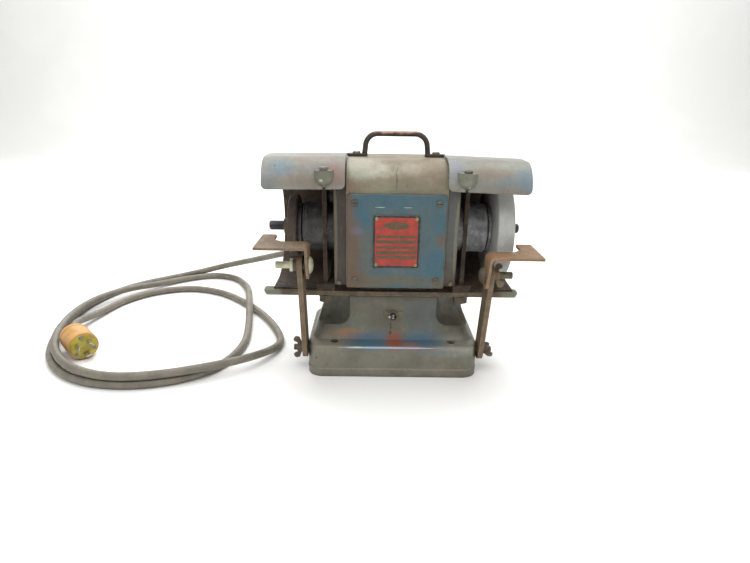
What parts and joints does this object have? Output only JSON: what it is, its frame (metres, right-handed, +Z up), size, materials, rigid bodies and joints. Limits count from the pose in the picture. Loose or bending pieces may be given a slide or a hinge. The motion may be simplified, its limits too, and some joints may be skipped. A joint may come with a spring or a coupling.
{
  "type": "bench grinder",
  "caption": "Bench grinder with a cast base, box motor, open wheel guards, curved shields, adjustable rests, carrying handle and coiled cord.",
  "frame": {"origin": "centre of the base's four mounting holes, on its underside", "axes": "+Z up, +X to the operator's right along the spindle, the operator stands at -Y"},
  "size_m": [0.8805, 0.5529, 0.3938],
  "materials": {
    "base_paint": "worn grey-olive enamel over cast iron",
    "motor_paint": "worn olive-greige enamel",
    "cover_paint": "worn steel-blue enamel",
    "shield_paint": "faded blue-grey enamel with tan wear",
    "rusty_steel": "brown surface rust",
    "dark_steel": "dark oily steel",
    "bright_steel": "bright fastener steel",
    "name_red": "red printed plate",
    "abrasive_grey": "bonded grey abrasive",
    "abrasive_dark": "worn dark abrasive",
    "lamination": "laminated core steel",
    "winding": "varnished copper",
    "handle_steel": "dark bar, brown where held",
    "cord_rubber": "grey rubber jacket",
    "switch_case": "black moulding",
    "plug_shell": "tan rubber shell",
    "plug_face": "yellow moulding",
    "plug_metal": "plated brass"
  },
  "bodies": {
    "frame": {"base_casting": "base_paint", "base_bottom_cover": "dark_steel", "switch_plate": "dark_steel", "switch_body": "switch_case", "switch_nut": "bright_steel", "guard_bar": "rusty_steel", "guard_bolts": "rusty_steel", "motor_foot": "dark_steel", "motor_housing": "motor_paint", "front_cover": "cover_paint", "cover_screws": "rusty_steel", "nameplate": "name_red", "nameplate_rivets": "bright_steel", "end_bell_left": "motor_paint", "end_bell_right": "motor_paint", "bell_screws": "rusty_steel", "bearing_housing_left": "dark_steel", "bearing_housing_right": "dark_steel", "ball_bearings": "bright_steel", "stator_core": "lamination", "stator_windings": "winding", "wheel_guard_left": "rusty_steel", "eye_shield_left": "shield_paint", "shield_lug_left": "shield_paint", "shield_screw_left": "bright_steel", "wheel_guard_right": "rusty_steel", "eye_shield_right": "shield_paint", "shield_lug_right": "shield_paint", "shield_screw_right": "rusty_steel", "handle": "handle_steel", "handle_screws": "bright_steel", "arm_studs": "rusty_steel", "cord_gland": "switch_case", "power_cord": "cord_rubber", "plug_shell": "plug_shell", "plug_face": "plug_face", "plug_blades": "plug_metal", "plug_screws": "plug_metal"},
    "spindle": {"shaft": "dark_steel", "rotor_core": "lamination", "inner_flange_left": "dark_steel", "inner_flange_right": "dark_steel", "wheel_left": "abrasive_dark", "wheel_right": "abrasive_grey", "outer_flange_left": "dark_steel", "outer_flange_right": "dark_steel", "arbor_nut_left": "rusty_steel", "arbor_nut_right": "rusty_steel"},
    "toggle": {"switch_lever": "bright_steel"},
    "arm_left": {"rest_arm_left": "rusty_steel"},
    "arm_right": {"rest_arm_right": "rusty_steel"},
    "rest_left": {"tool_rest_left": "rusty_steel", "rest_bolt_left": "bright_steel", "rest_spacer_left": "dark_steel", "rest_nut_left": "bright_steel"},
    "rest_right": {"tool_rest_right": "rusty_steel", "rest_bolt_right": "rusty_steel"},
    "pivot_wing_left": {"pivot_wing_nut_left": "rusty_steel"},
    "pivot_wing_right": {"pivot_wing_nut_right": "rusty_steel"},
    "rest_wing_right": {"rest_wing_nut_right": "rusty_steel"}
  },
  "joints": [
    {"name": "spindle_spin", "type": "hinge", "parent": "frame", "child": "spindle", "pos_m": [0, 0, 0.238], "axis": [1, 0, 0], "continuous": true},
    {"name": "switch_toggle", "type": "hinge", "parent": "frame", "child": "toggle", "pos_m": [0, -0.058, 0.098], "axis": [0, 0, 1], "range_deg": [0, 60]},
    {"name": "arm_left_swing", "type": "hinge", "parent": "frame", "child": "arm_left", "pos_m": [-0.1467, -0.066, 0.044], "axis": [1, 0, 0], "range_deg": [-8, 25]},
    {"name": "arm_right_swing", "type": "hinge", "parent": "frame", "child": "arm_right", "pos_m": [0.1467, -0.066, 0.044], "axis": [1, 0, 0], "range_deg": [-1, 25]},
    {"name": "rest_left_tilt", "type": "hinge", "parent": "arm_left", "child": "rest_left", "pos_m": [-0.1467, -0.096, 0.199], "axis": [1, 0, 0], "range_deg": [-8, 15]},
    {"name": "rest_right_tilt", "type": "hinge", "parent": "arm_right", "child": "rest_right", "pos_m": [0.1467, -0.096, 0.1865], "axis": [1, 0, 0], "range_deg": [-4, 15]},
    {"name": "pivot_wing_left_turn", "type": "hinge", "parent": "frame", "child": "pivot_wing_left", "pos_m": [-0.155, -0.066, 0.044], "axis": [1, 0, 0], "continuous": true},
    {"name": "pivot_wing_right_turn", "type": "hinge", "parent": "frame", "child": "pivot_wing_right", "pos_m": [0.155, -0.066, 0.044], "axis": [1, 0, 0], "continuous": true},
    {"name": "rest_wing_right_turn", "type": "hinge", "parent": "rest_right", "child": "rest_wing_right", "pos_m": [0.155, -0.096, 0.1865], "axis": [1, 0, 0], "continuous": true}
  ]
}
